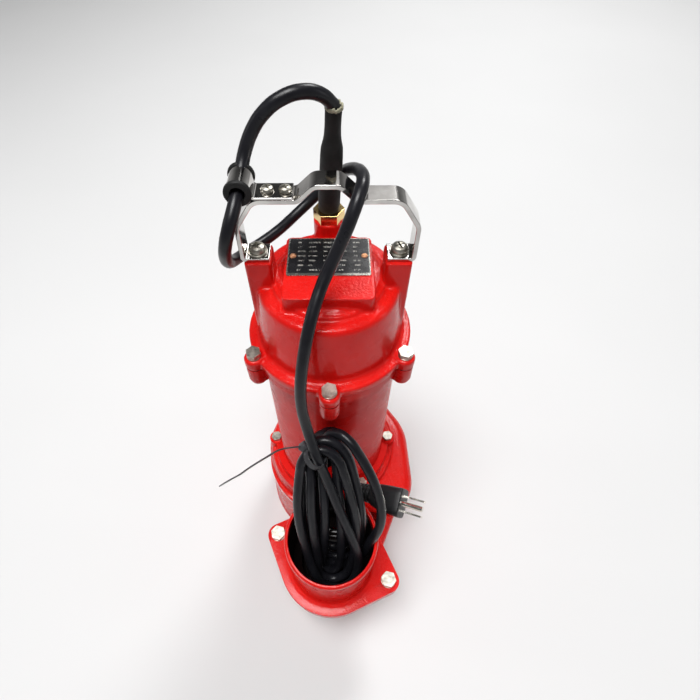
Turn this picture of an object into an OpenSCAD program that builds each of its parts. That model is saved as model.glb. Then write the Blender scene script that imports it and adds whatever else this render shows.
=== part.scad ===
// Submersible sewage pump: upright motor, volute with an upturned discharge, bolted hose
// connector, lifting handle and a mains lead tied into a hank. Millimetres, +Z up.
// Origin: centre of the base ring's underside, on the motor shaft's axis. The discharge is at -Y.

/* [Motor housing] */
// Outside diameter of the motor tube
motor_d = 112; // [90:1:140]
// Wall of the motor tube
motor_wall = 5.5; // [4:0.5:8]
// Height of the joint between top cap and motor tube
cap_z = 330; // [280:1:400]
// Diameter of the round flanges at the cap joint
ring_d = 127; // [110:1:160]
// Diameter of the circle that the six cap bolts stand on
cap_pcd = 130; // [115:1:160]
// Diameter of the circle that the six volute bolts stand on
volute_pcd = 126.6; // [110:0.1:150]
// Height of the joint between motor tube and volute
volute_z = 118; // [100:1:140]

/* [Top cap] */
// Diameter of the cap's wall where it meets its flange
cap_d = 111; // [90:1:130]
// Diameter of the cap's flat top
shoulder_d = 100; // [80:1:120]
// Height of the flat top above the cap joint
shoulder_h = 50; // [30:1:80]
// Height of the name plate's pad above the flat top
pad_h = 13; // [4:1:20]
// Height of the two handle posts above the cap joint
post_h = 71; // [50:1:100]

/* [Volute and discharge] */
// Scroll radius at its tongue
scroll_min = 70; // [60:1:80]
// Scroll radius at its outlet
scroll_max = 94; // [80:1:110]
// Height of the joint between volute and base
base_z = 80; // [50:1:100]
// Distance from the shaft to the discharge's axis
outlet_y = 124; // [100:1:150]
// Height of the connector flange's underside
flange_z = 99; // [90:1:130]
// Height of the hose connector's rim
rim_z = 184; // [140:1:220]
// Bore of the hose connector
mouth_d = 77; // [50:1:90]
// Outside diameter of the hose connector's tube
tube_d = 82; // [56:1:96]
// Outside diameter of the bead at the connector's rim
bead_d = 84; // [58:1:98]
// Distance between the two flange bolts
flange_span = 120; // [90:1:150]

/* [Base] */
// Outside diameter of the base ring
base_d = 154; // [120:1:180]
// Bore of the suction eye
eye_d = 60; // [30:1:80]

/* [Handle] */
// Width of the handle's strap
strap_w = 15; // [10:1:25]
// Thickness of the handle's strap
strap_t = 3; // [2:0.5:5]
// Height of the grip's middle plane above the cap joint
grip_h = 116.4; // [90:0.1:150]

/* [Cord] */
// Diameter of the mains lead
cord_d = 8; // [6:0.5:12]
// Width of the hank between its outer strands
hank_w = 46; // [40:1:60]

/* [Hidden] */
$fn = 96;

cast_red = [0.80, 0.07, 0.06];
steel = [0.78, 0.78, 0.76];
chrome = [0.86, 0.87, 0.88];
black = [0.07, 0.07, 0.08];
copper = [0.72, 0.42, 0.24];
brass = [0.80, 0.62, 0.28];

play = 0.05;                       // radial gap of a plain bolt in its hole
cap_top = cap_z + shoulder_h;      // 380
pad_top = cap_top + pad_h;         // 393
lug_top = cap_z + 1.5;
flange_t = 9;
flange_a = -21.5;                  // turn of the oval flange about the discharge axis
gland_y = 46;
gland_top = 396;
m6 = 6;
m6_af = 10;
m6_head = 4;
m8 = 8;
m8_af = 13;
m8_head = 5.3;
washer_t = 1.2;

// ---------- helpers ----------
module around(r, n = 6, a0 = 30)
  for (i = [0:n - 1]) rotate([0, 0, a0 + i * 360 / n]) translate([r, 0, 0]) children();

module hex_bolt(d, af, head, len) {
  cylinder(h = head, d = af / cos(30), $fn = 6);
  translate([0, 0, -len]) cylinder(h = len, d = d, $fn = 32);
}

module washer(d_in, d_out, t)
  difference() {
    cylinder(h = t, d = d_out, $fn = 48);
    translate([0, 0, -1]) cylinder(h = t + 2, d = d_in, $fn = 48);
  }

module tube_ring(r_out, r_in, z0, z1)
  difference() {
    translate([0, 0, z0]) cylinder(h = z1 - z0, r = r_out);
    translate([0, 0, z0 - 1]) cylinder(h = z1 - z0 + 2, r = r_in);
  }

// a flat strip bent along a path in a plane: points of its outline
function side_of(p, i) = let (a = p[max(i - 1, 0)], b = p[i], c = p[min(i + 1, len(p) - 1)],
    u = (b == a) ? (c - b) / norm(c - b) : (b - a) / norm(b - a),
    v = (c == b) ? u : (c - b) / norm(c - b), n = [-u[1] - v[1], u[0] + v[0]],
    m = n / norm(n)) m / max(0.3, m * [-u[1], u[0]]);
function strip(p, t) = concat([for (i = [0:len(p) - 1]) p[i] + side_of(p, i) * t / 2],
    [for (i = [len(p) - 1:-1:0]) p[i] - side_of(p, i) * t / 2]);
function arc(c, r, a0, a1, n) = [for (i = [0:n])
    c + r * [cos(a0 + (a1 - a0) * i / n), sin(a0 + (a1 - a0) * i / n)]];

// a round tube along a row of points
function unit(v) = v / norm(v);
function headings(p) = [for (i = [0:len(p) - 1])
    unit(p[min(i + 1, len(p) - 1)] - p[max(i - 1, 0)])];
function carry(t, u, i = 0) = i == len(t) ? [] :
    let (w = unit(u - (u * t[i]) * t[i])) concat([w], carry(t, w, i + 1));

module round_tube(p, r, n) {
  t = headings(p);
  u = carry(t, [0.1, 0.2, 1]);
  m = len(p);
  pts = [for (i = [0:m - 1]) for (k = [0:n - 1])
    p[i] + r * (cos(360 * k / n) * u[i] + sin(360 * k / n) * cross(t[i], u[i]))];
  sides = [for (i = [0:m - 2]) for (k = [0:n - 1]) for (h = [0, 1]) let (q = (k + 1) % n)
    h == 0 ? [i * n + k, (i + 1) * n + k, (i + 1) * n + q] : [i * n + k, (i + 1) * n + q, i * n + q]];
  polyhedron(points = pts,
    faces = concat([[for (k = [0:n - 1]) k]], sides, [[for (k = [n - 1:-1:0]) (m - 1) * n + k]]));
}

// a polyline whose corners are rounded
function corner(a, b, c, r, n) = let (u = unit(a - b), v = unit(c - b), half = acos(u * v) / 2,
    o = b + unit(u + v) * r / sin(half), s = b + u * r / tan(half), e = b + v * r / tan(half),
    a0 = atan2(s[1] - o[1], s[0] - o[0]), a1 = atan2(e[1] - o[1], e[0] - o[0]),
    da = (a1 - a0 + 540) % 360 - 180) arc(o, r, a0, a0 + da, n);
function bent(p, r, n) = concat([p[0]], [for (i = [1:len(p) - 2])
    for (q = corner(p[i - 1], p[i], p[i + 1], r[i], n)) q], [p[len(p) - 1]]);

// a strap lying in the XZ plane
module strap(p, t, w)
  translate([0, w / 2, 0]) rotate([90, 0, 0]) linear_extrude(height = w) polygon(strip(p, t));

module rounded_window(w, h, r) {
  square([w - 2 * r, h], center = true);
  square([w, h - 2 * r], center = true);
  for (x = [-1, 1], y = [-1, 1]) translate([x * (w / 2 - r), y * (h / 2 - r)]) circle(r = r, $fn = 24);
}

// outline of the two-bolt flange: a round middle and two small lobes, joined by tangents
function lobed(big, d, small) = let (b = acos((big - small) / d)) concat(
    arc([0, 0], big, b, 180 - b, 24), arc([-d, 0], small, 180 - b, 180 + b, 12),
    arc([0, 0], big, 180 + b, 360 - b, 24), arc([d, 0], small, -b, b, 12));

module two_bolt_flange(z0, z1, big, small)
  translate([0, -outlet_y, z0]) rotate([0, 0, flange_a])
    linear_extrude(height = z1 - z0) polygon(lobed(big, flange_span / 2, small));

module at_flange_bolts(z)
  for (s = [-1, 1]) translate([0, -outlet_y, z]) rotate([0, 0, flange_a])
    translate([s * flange_span / 2, 0, 0]) children();

// ---------- base ----------
module base_ring()
  color(cast_red) difference() {
    rotate_extrude() polygon([[69, 0], [base_d / 2 - 1, 0], [base_d / 2, 1], [base_d / 2, 9],
      [base_d / 2 - 1, 12], [75, 70], [75, base_z], [66.4, base_z], [66.4, base_z - 3],
      [57, base_z - 3], [57, base_z - 8], [69, base_z - 8]]);
    for (a = [0:90:270]) rotate([0, 0, a]) translate([60, 0, 29]) rotate([90, 0, 90])
      linear_extrude(height = 25) rounded_window(58, 34, 8);
    around(62, 6, 15) translate([0, 0, base_z - 20]) cylinder(h = 40, r = 2.5 + play, $fn = 32);
  }

module base_screws()
  color(steel) around(62, 6, 15) translate([0, 0, base_z - 8]) rotate([180, 0, 0])
    hex_bolt(5, 8, 3.5, 16);

module suction_cover()
  color(cast_red) difference() {
    rotate_extrude() polygon([[eye_d / 2, base_z - 10], [eye_d / 2 + 4, base_z - 10],
      [eye_d / 2 + 5, base_z - 3], [66, base_z - 3], [66, base_z], [58, base_z], [58, base_z + 8],
      [eye_d / 2, base_z + 8]]);
    around(62, 6, 15) translate([0, 0, base_z - 20]) cylinder(h = 40, r = 2.5 + play, $fn = 32);
  }

// ---------- volute ----------
function scroll_r(a) = scroll_min + (scroll_max - scroll_min) * (215 - a) / 255;
function polar(r, a) = [r * cos(a), r * sin(a)];
scroll_in = concat([for (i = [0:24]) let (a = 215 - i * 255 / 24) polar(scroll_r(a) - 8, a)],
    [for (a = [-60:-20:-140]) polar(50, a)]);

// a thick round plate with rounded edges
module soft_disc(x, y, r, z0, z1, rb, rt, f = 64)
  translate([x, y, 0]) rotate_extrude($fn = f) polygon(concat([[0, z0]],
    arc([r - rb, z0 + rb], rb, -90, 0, 4), arc([r - rt, z1 - rt], rt, 0, 90, 5), [[0, z1]]));

module volute_casing()
  color(cast_red) difference() {
    union() {
      rotate_extrude() polygon([[20, 84], [scroll_min, 84], [scroll_min, volute_z - 5],
        [scroll_min - 0.8, volute_z - 2], [scroll_min - 2, volute_z - 1],
        [scroll_min - 3.4, volute_z - 2], [scroll_min - 4.8, volute_z - 1.6],
        [scroll_min - 5.6, volute_z - 0.6], [scroll_min - 6, volute_z], [20, volute_z]]);
      translate([0, 0, base_z]) cylinder(h = 8, r = 75);
      around(volute_pcd / 2, 6, 0) translate([0, 0, volute_z - 12]) cylinder(h = 12, r = 8);
      // the scroll
      hull() {
        for (a = [200, 160, 120, 80, 40, 5]) let (c = polar(scroll_r(a) - 62, a))
          soft_disc(c[0], c[1], 62, base_z + 0.6, volute_z - 6.3, 6, 13);
        soft_disc(50, -40, 41, base_z + 0.6, volute_z - 6.3, 6, 13);
      }
      // the duct to the outlet and its elbow
      hull() {
        soft_disc(47, -36, 37.5, base_z + 1.2, volute_z - 15, 6, 10);
        soft_disc(0, -outlet_y, 44, base_z - 14, flange_z - 4, 14, 4);
      }
      soft_disc(0, -outlet_y, 39, base_z - 18, flange_z - 8, 14, 4);
      two_bolt_flange(flange_z - 11, flange_z - 1, 52.5, 11);
    }
    // the base ring stands inside the duct's and the elbow's lower side
    translate([0, 0, base_z - 30]) cylinder(h = 30, r = base_d / 2 + 0.3);
    // room for the hose connector's flange
    two_bolt_flange(flange_z - 1, volute_z + 20, 56, 14);
    translate([0, 0, base_z - 1]) cylinder(h = volute_z - 6 - base_z + 1, r = 58.4);
    translate([0, 0, base_z]) cylinder(h = 60, r = 30.2);
    translate([0, 0, base_z + 12]) linear_extrude(height = 15) polygon(scroll_in);
    hull() {
      translate([52, -36, base_z + 12.5]) cylinder(h = 13, r = 29, $fn = 64);
      translate([0, -outlet_y, base_z - 5]) cylinder(h = 18, r = 28, $fn = 64);
    }
    translate([0, -outlet_y, base_z - 6]) cylinder(h = 60, r = 31);
    around(62, 6, 15) translate([0, 0, base_z - 1]) cylinder(h = 10, r = 2.5 + play, $fn = 32);
    around(volute_pcd / 2, 6, 0) translate([0, 0, volute_z - 9]) cylinder(h = 20, r = 3 + play, $fn = 32);
    at_flange_bolts(flange_z - 10) cylinder(h = 40, r = 4 + play, $fn = 32);
  }

module volute_bolts()
  color(steel) around(volute_pcd / 2, 6, 0) translate([0, 0, volute_z + 9])
    rotate([0, 0, 10]) hex_bolt(m6, m6_af, m6_head, 17);

// ---------- motor ----------
module motor_housing()
  color(cast_red) difference() {
    union() {
      translate([0, 0, volute_z]) cylinder(h = cap_z - 9 - volute_z, d = motor_d, $fn = 180);
      translate([0, 0, cap_z - 18]) cylinder(h = 9, r = 62);
      rotate_extrude() polygon([[53, volute_z], [64, volute_z], [64, volute_z + 7],
        [63, volute_z + 8], [57, volute_z + 8], [56, volute_z + 10], [53, volute_z + 10]]);
      around(cap_pcd / 2) {
        rotate_extrude($fn = 40) polygon([[0, cap_z - 28], [4.5, cap_z - 28], [6.6, cap_z - 27],
          [7.5, cap_z - 24], [7.5, cap_z - 9], [0, cap_z - 9]]);
        translate([-12, -6.5, cap_z - 26]) cube([12, 13, 16]);
      }
      around(volute_pcd / 2, 6, 0) translate([0, 0, volute_z]) cylinder(h = 9, r = 8);
    }
    translate([0, 0, volute_z - 1]) cylinder(h = 240, r = motor_d / 2 - motor_wall, $fn = 180);
    around(cap_pcd / 2) translate([0, 0, cap_z - 25]) cylinder(h = 30, r = 3 + play, $fn = 32);
    around(volute_pcd / 2, 6, 0) translate([0, 0, volute_z - 1]) cylinder(h = 20, r = 3 + play, $fn = 32);
  }

module bearing_bracket()
  color(cast_red) difference() {
    rotate_extrude() polygon([[8.5, volute_z - 8], [30, volute_z - 8], [30, volute_z],
      [50.3, volute_z], [50.3, volute_z + 12], [44, volute_z + 12], [42, volute_z + 8],
      [27, volute_z + 8], [24, volute_z + 14], [24, volute_z + 28], [8.5, volute_z + 28]]);
    translate([0, 0, volute_z - 9]) cylinder(h = 12, r = 14.02);
    translate([0, 0, volute_z + 16]) cylinder(h = 20, r = 17.52);
  }

module upper_bracket()
  color(cast_red) difference() {
    rotate_extrude() polygon([[12, cap_z - 34], [24, cap_z - 34], [26, cap_z - 26],
      [45, cap_z - 26], [45, cap_z - 34], [50.3, cap_z - 34], [50.3, cap_z - 18],
      [12, cap_z - 18]]);
    translate([0, 0, cap_z - 30]) cylinder(h = 20, r = 17.52);
    around(38, 2, 0) translate([0, 0, cap_z - 40]) cylinder(h = 30, r = 4, $fn = 32);
  }

bearing_z = [volute_z + 16, cap_z - 30];
module race_pair(r0, r1)
  for (z = bearing_z) translate([0, 0, z]) rotate_extrude() difference() {
    translate([r0, 0]) square([r1 - r0, 11]);
    translate([12.5, 5.5]) circle(r = 3.05, $fn = 48);
  }
module outer_races() color(steel) race_pair(14.3, 17.5);
module inner_races() color(steel) race_pair(7.52, 10.7);
module bearing_balls()
  color(chrome) for (z = bearing_z) around(12.5, 8, 0) translate([0, 0, z + 5.5])
    sphere(d = 6, $fn = 32);

module shaft()
  color(steel) rotate_extrude() polygon([[0, base_z + 4], [4, base_z + 4], [4, base_z + 15],
    [6, base_z + 15], [6, volute_z + 1], [7.5, volute_z + 1], [7.5, volute_z + 27.5],
    [10, volute_z + 28], [10, cap_z - 31], [7.5, cap_z - 30.5], [7.5, cap_z - 17],
    [6.5, cap_z - 16], [0, cap_z - 16]]);

module rotor_core()
  color(steel) difference() {
    union() {
      translate([0, 0, 175]) cylinder(h = 90, r = 29);
      for (z = [167, 265]) translate([0, 0, z]) cylinder(h = 8, r = 26);
    }
    translate([0, 0, 160]) cylinder(h = 120, r = 10.02);
    for (z = [160, 270]) translate([0, 0, z]) cylinder(h = 10, r = 20);
  }

vane = [for (i = [0:10]) polar(10 + 3.9 * i, -6.5 * i)];
module impeller()
  color(cast_red) difference() {
    union() {
      translate([0, 0, base_z + 23]) cylinder(h = 4, r = 50);
      translate([0, 0, base_z + 14]) cylinder(h = 12, r = 11);
      for (a = [0:72:288]) rotate([0, 0, a]) translate([0, 0, base_z + 11])
        linear_extrude(height = 13) polygon(strip(vane, 4));
    }
    translate([0, 0, base_z]) cylinder(h = 40, r = 6.02);
    translate([0, 0, base_z]) cylinder(h = 14, r = 11);
  }

module impeller_nut()
  color(steel) translate([0, 0, base_z + 6]) difference() {
    union() {
      cylinder(h = 7, d = 14 / cos(30), $fn = 6);
      translate([0, 0, 6.5]) cylinder(h = 1.5, r = 8);
    }
    translate([0, 0, -1]) cylinder(h = 10, r = 4.02, $fn = 48);
  }

module seal_seat() color([0.9, 0.88, 0.82]) tube_ring(14, 8.2, volute_z - 3, volute_z + 3);
module seal_ring() color(black) tube_ring(12, 6.02, volute_z - 6, volute_z - 3.05);
module seal_spring()
  color(steel) for (i = [0:3]) translate([0, 0, base_z + 28 + i * 1.1])
    rotate_extrude() translate([8.4, 0]) circle(r = 0.55, $fn = 24);

module stator_core()
  color(steel) difference() {
    translate([0, 0, 170]) cylinder(h = 100, r = 50.3);
    translate([0, 0, 160]) cylinder(h = 120, r = 29.6);
    around(37, 18, 0) translate([0, 0, 160]) translate([-5.5, -2, 0]) cube([11, 4, 120]);
  }

module windings()
  color(copper) {
    difference() {
      for (z = [150, 270.2]) rotate_extrude() translate([32, z]) {
        translate([2, 0]) square([10, 19.8]);
        translate([0, 2]) square([14, 15.8]);
      }
      translate([0, 0, 140]) cylinder(h = 5, r = 30);
    }
    around(37, 18, 0) translate([-5.3, -1.8, 160]) cube([10.6, 3.6, 120]);
  }

module cap_gasket()
  color(black) translate([0, 0, cap_z - 9]) difference() {
    linear_extrude(height = 1) difference() {
      union() {
        circle(r = 61.5);
        for (a = [30:60:330]) rotate(a) translate([cap_pcd / 2, 0]) circle(r = 7, $fn = 40);
      }
      circle(r = 50.6);
      for (a = [30:60:330]) rotate(a) translate([cap_pcd / 2, 0]) circle(r = 3.2, $fn = 32);
    }
  }

// ---------- top cap ----------
module top_cap()
  color(cast_red) difference() {
    union() {
      rotate_extrude($fn = 180) polygon([[0, cap_z - 8], [ring_d / 2 - 0.5, cap_z - 8],
        [ring_d / 2, cap_z - 7], [ring_d / 2, cap_z - 1], [ring_d / 2 - 1, cap_z],
        [cap_d / 2 + 2.5, cap_z], [cap_d / 2 + 0.6, cap_z + 1], [cap_d / 2 - 0.2, cap_z + 3],
        [shoulder_d / 2 + 0.6, cap_top - 4], [shoulder_d / 2 - 0.2, cap_top - 1.8],
        [shoulder_d / 2 - 1.6, cap_top - 0.5], [shoulder_d / 2 - 3.2, cap_top],
        [40.5, cap_top], [39.5, cap_top + 2.5], [36.6, cap_top + 2.5], [35.8, cap_top + 4],
        [0, cap_top + 4]]);
      around(cap_pcd / 2) {
        translate([0, 0, cap_z - 8]) cylinder(h = 8, r = 7.8, $fn = 48);
        translate([-4, -7.8, cap_z - 8]) cube([4, 15.6, 8]);
        translate([0, 0, cap_z - 8]) cylinder(h = 9.5, r = 7, $fn = 48);
      }
      // pad of the name plate
      translate([0, -3, cap_top]) linear_extrude(height = pad_h) rounded_window(60, 60, 3);
      // posts of the handle
      for (s = [-1, 1]) translate([s * 46.15, 0, cap_z]) linear_extrude(height = post_h)
        rounded_window(17.7, 20, 1.5);
      // boss of the cable gland, running down the back wall
      translate([0, gland_y, cap_z - 1]) cylinder(h = gland_top - cap_z + 1, r = 11.4);
    }
    rotate_extrude() polygon([[0, cap_z - 9], [49, cap_z - 9], [45, cap_top - 6], [0, cap_top - 6]]);
    translate([0, gland_y, cap_top]) cylinder(h = 40, r = 8.2, $fn = 64);
    translate([0, gland_y, cap_z + 20]) cylinder(h = 60, r = 5.5, $fn = 64);
    around(cap_pcd / 2) translate([0, 0, cap_z - 20]) cylinder(h = 40, r = 3 + play, $fn = 32);
    for (s = [-1, 1]) translate([s * 46.5, 0, cap_z + post_h - 15])
      cylinder(h = 30, r = 3 + play, $fn = 32);
    for (s = [-1, 1]) translate([s * 24.5, 7, pad_top - 6]) cylinder(h = 20, r = 1.25, $fn = 24);
  }

module cap_bolts()
  color(steel) around(cap_pcd / 2) translate([0, 0, lug_top + washer_t])
    rotate([0, 0, 12]) hex_bolt(m6, m6_af, m6_head, 26);
module cap_washers()
  color(steel) around(cap_pcd / 2) translate([0, 0, lug_top]) washer(6.4, 10.8, washer_t);

module run_capacitor()
  color(black) translate([-32, -14, cap_z + 15]) rotate([0, 90, 0]) {
    cylinder(h = 62, r = 19);
    for (y = [-6, 6]) translate([-1, y - 3, 61.5]) cube([0.8, 6, 6]);
  }
module terminal_block()
  color([0.85, 0.83, 0.75]) translate([-16, 16, cap_z - 4]) difference() {
    cube([32, 14, 16]);
    for (x = [6:10:26]) translate([x, 7, 6]) cylinder(h = 20, r = 2.2, $fn = 24);
  }

module name_plate()
  color(black) translate([0, 6.65, pad_top]) difference() {
    linear_extrude(height = 0.6) rounded_window(56.5, 37.3, 1.5);
    for (s = [-1, 1]) translate([s * 24.5, 0.35, -1]) cylinder(h = 3, r = 1.3, $fn = 24);
  }
module name_plate_rivets()
  color(copper) for (s = [-1, 1]) translate([s * 24.5, 7, 0]) {
    translate([0, 0, pad_top + 0.6]) rotate_extrude($fn = 32)
      polygon([[0, 0], [2.4, 0], [2.1, 0.6], [1.2, 1], [0, 1.1]]);
    translate([0, 0, pad_top - 5.5]) cylinder(h = 6.5, r = 1.2, $fn = 24);
  }

// ---------- handle and clamp ----------
grip_z = cap_z + grip_h;           // middle plane of the grip
foot_z = cap_z + post_h + strap_t / 2;
grip = [[-38.5, foot_z], [-55.5, foot_z], [-55.5, 428], [-43.5, grip_z], [-17.5, grip_z],
  [-7.5, grip_z + 9.6], [7.5, grip_z + 9.6], [17.5, grip_z], [43.5, grip_z], [55.5, 428],
  [55.5, foot_z], [38.5, foot_z]];
grip_bends = [0, 2.5, 9, 9, 6, 7, 7, 6, 9, 9, 2.5, 0];
clamp_c = [-50, 453.5];            // centre of the clamp's eye in the XZ plane
clamp_t = 1.5;
clamp_x = [-34.7, -24.2];

module handle()
  color(chrome) difference() {
    strap(bent(grip, grip_bends, 8), strap_t, strap_w);
    for (s = [-1, 1]) translate([s * 46.5, 0, foot_z - 5]) cylinder(h = 10, r = 3.1, $fn = 32);
    for (x = clamp_x) translate([x, 0, grip_z - 5]) cylinder(h = 10, r = 2 + play, $fn = 32);
  }

module pan_screw(d, head_d, head_h, len)
  difference() {
    union() {
      rotate_extrude($fn = 40) polygon([[0, 0], [head_d / 2 - 0.3, 0], [head_d / 2, 0.3],
        [head_d / 2, head_h * 0.45], [head_d * 0.42, head_h * 0.8], [head_d * 0.25, head_h],
        [0, head_h]]);
      translate([0, 0, -len]) cylinder(h = len + 0.5, d = d, $fn = 32);
    }
    for (a = [20, 110]) rotate([0, 0, a]) translate([-head_d * 0.28, -head_d * 0.05, head_h * 0.4])
      cube([head_d * 0.56, head_d * 0.1, head_h]);
  }

module handle_screws()
  color(steel) for (s = [-1, 1]) translate([s * 46.5, 0, foot_z + strap_t / 2 + washer_t])
    pan_screw(6, 11, 4.2, 17);
module handle_washers()
  color(steel) for (s = [-1, 1]) translate([s * 46.5, 0, foot_z + strap_t / 2])
    washer(6.4, 13, washer_t);

module cable_clamp()
  color(chrome) difference() {
    strap(concat(bent([[-19.8, grip_z + strap_t / 2 + clamp_t / 2],
      [clamp_c[0] + 6.35, grip_z + strap_t / 2 + clamp_t / 2], [clamp_c[0] + 6.35, clamp_c[1]]],
      [0, 2.4, 0], 5), [for (a = [15:15:285]) clamp_c + polar(6.35, a)]), clamp_t, strap_w);
    for (x = clamp_x) translate([x, 0, grip_z]) cylinder(h = 10, r = 2 + play, $fn = 32);
  }

module clamp_grommet()
  color(black) translate([clamp_c[0], 0, clamp_c[1]]) rotate([90, 0, 0]) difference() {
    rotate_extrude() polygon([[4.3, -10.5], [7.4, -10.5], [8, -9.9], [8, -8.2], [7.4, -7.6],
      [5.55, -7.6], [5.55, 7.6], [7.4, 7.6], [8, 8.2], [8, 9.9], [7.4, 10.5], [4.3, 10.5]]);
  }

module clamp_screws()
  color(steel) for (x = clamp_x) translate([x, 0, grip_z + strap_t / 2 + clamp_t])
    pan_screw(4, 7.6, 2.8, 7.5);

// ---------- cable gland ----------
module gland_nut()
  color(brass) translate([0, gland_y, gland_top]) difference() {
    union() {
      cylinder(h = 8, d = 20 / cos(30), $fn = 6);
      translate([0, 0, -9]) cylinder(h = 10, r = 8.15, $fn = 64);
    }
    translate([0, 0, -10]) cylinder(h = 20, r = 5.9, $fn = 64);
  }
module gland_bush()
  color(black) translate([0, gland_y, cap_top]) tube_ring(8.1, 4.2, 0, 6.8);

sleeve_top = [4, 36, 480];
module cable_sleeve()
  color(black) {
    p = [0, gland_y, gland_top + 8];
    d = sleeve_top - p;
    translate(p) rotate([0, acos(d[2] / norm(d)), atan2(d[1], d[0])]) difference() {
      rotate_extrude() polygon([[4.2, -0.2], [7.6, -0.2], [7.7, 6], [7.3, 46], [6.6, 52],
        [5.2, 58], [5, norm(d)], [4.2, norm(d)]]);
      translate([-20, -20, -40]) cube([40, 40, 40.9]);
    }
    translate([0, gland_y, gland_top - 2]) tube_ring(5.8, 4.2, 0, 11.5);
  }

// ---------- hose connector ----------
module hose_connector()
  color(cast_red) difference() {
    union() {
      two_bolt_flange(flange_z, flange_z + flange_t, 53, 11);
      translate([0, -outlet_y, 0]) rotate_extrude() polygon([[20, flange_z + 1],
        [47, flange_z + flange_t], [43, flange_z + flange_t + 1.5],
        [tube_d / 2 + 0.3, flange_z + flange_t + 5], [tube_d / 2 - 0.6, rim_z - 12],
        [bead_d / 2 - 0.6, rim_z - 7], [bead_d / 2, rim_z - 4], [bead_d / 2 - 0.4, rim_z - 1.4],
        [bead_d / 2 - 1.6, rim_z - 0.2], [mouth_d / 2 + 0.6, rim_z], [20, rim_z]]);
    }
    translate([0, -outlet_y, 0]) rotate_extrude() polygon([[0, flange_z - 1], [31, flange_z - 1],
      [31, flange_z + 3], [mouth_d / 2, flange_z + 12], [mouth_d / 2, rim_z + 1], [0, rim_z + 1]]);
    at_flange_bolts(flange_z - 5) cylinder(h = 40, r = 4 + play, $fn = 32);
  }

module connector_gasket()
  color(black) translate([0, -outlet_y, flange_z - 1]) rotate([0, 0, flange_a])
    linear_extrude(height = 1) difference() {
      polygon(lobed(51.5, flange_span / 2, 10));
      circle(r = 31.2);
      for (s = [-1, 1]) translate([s * flange_span / 2, 0]) circle(r = 4.3, $fn = 32);
    }

module connector_bolts()
  color(steel) at_flange_bolts(flange_z + flange_t + 1.6) rotate([0, 0, 8])
    hex_bolt(m8, m8_af, m8_head, 20);
module connector_washers()
  color(steel) at_flange_bolts(flange_z + flange_t) washer(8.4, 14.2, 1.6);

// ---------- cord ----------
// the lead: up from the sleeve, over into the clamp, back over the cap and down into the hank
lead = [[4, 36, 480], [2, 34, 486], [-3, 30, 491], [-10, 26, 494], [-18, 24, 494], [-26, 22, 491],
  [-33, 20, 486], [-39, 19, 479], [-44, 18, 471], [-48, 16, 463], [-50, 11, 456],
  [-50, 4, 453.5], [-50, -6, 453.5], [-51, -14, 451], [-53, -20, 446], [-56, -25, 440],
  [-59, -26, 431], [-62, -22, 419], [-64, -13, 406], [-63.5, -1, 396], [-60, 12, 391],
  [-50, 24, 389], [-43, 34, 388], [-36, 43, 388], [-30, 51, 389], [-23, 58, 392],
  [-12, 65, 399], [-1, 66, 409], [7, 60, 421], [12, 48, 433], [16, 34, 442], [19, 22, 449],
  [21, 11, 453], [21, 3, 455], [20, -6, 456], [18, -13, 455], [15, -18, 449], [11, -22, 438],
  [6, -25, 427], [1, -30, 417], [-4, -37, 409], [-8, -47, 402], [-12, -57, 392], [-15, -65, 378],
  [-18, -71, 360], [-19, -75, 342], [-19, -77, 327], [-18, -79, 314], [-16, -81, 303],
  [-14, -81, 296]];
tail = [[8, -78, 260], [1, -78, 248], [-7, -79, 236], [-14, -80, 223], [-17, -80, 210],
  [-14, -80, 198], [-6, -78, 191], [7, -78, 188], [21, -83, 190]];
cord_r = cord_d / 2;

module cable_lead() color(black) round_tube(lead, cord_r, 12);
module cable_tail() color(black) round_tube(tail, cord_r, 12);

// the hank stands in the connector's mouth and leans back towards the motor
module on_hank() translate([0, -150, 158]) rotate([63.2, 0, 0]) children();
module cable_hank()
  color(black) on_hank() {
    translate([0, 0, -20]) linear_extrude(height = 24)
      polygon(concat(arc([0, 20], hank_w / 2 + 2, 180, 360, 24), [[34, 45], [43, 62], [43, 84],
        [36, 108]], arc([1, 130], 29, 0, 180, 24), [[-30, 95], [-30, 62]]));
    // the folds at its foot, lower in the connector
    translate([0, 0, -26]) linear_extrude(height = 20)
      polygon(concat(arc([2, 13], 21, 180, 360, 20), [[23, 30], [-19, 30]]));
  }

module cable_tie()
  color([0.1, 0.1, 0.11]) {
    on_hank() translate([-12, 140, -8]) rotate([90, 0, -62]) difference() {
      cylinder(h = 3.6, r = 15, center = true);
      cylinder(h = 5, r = 13.8, center = true);
    }
    on_hank() translate([-24.5, 140, 1]) rotate([0, 0, -62]) cube([5.5, 5.5, 6], center = true);
    round_tube([[-24, -85, 284], [-36, -86, 285], [-48, -86, 275], [-60, -85, 256],
      [-71, -84, 239], [-88, -82, 214], [-104, -80, 190]], 1.4, 8);
  }

// the plug lies on the back edge of the connector's rim: its face's middle, then its tilt
module on_plug() translate([63.5, -101.7, 205]) rotate([0, 71.8, -24]) rotate([0, 0, 20]) children();
module plug_body()
  color(black) on_plug() {
    translate([-1, 0, -29]) linear_extrude(height = 29) rounded_window(24, 27, 7);
    translate([-1, 0, -48.5]) cylinder(h = 21, r1 = 5.6, r2 = 8.5);
  }
module plug_pins()
  color(brass) on_plug() {
    for (s = [-1, 1]) translate([0.7, s * 6.35 - 0.8, -0.5]) cube([6.4, 1.6, 17.5]);
    translate([-8, 0, -0.5]) cylinder(h = 20, r = 2.4, $fn = 32);
  }

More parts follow.
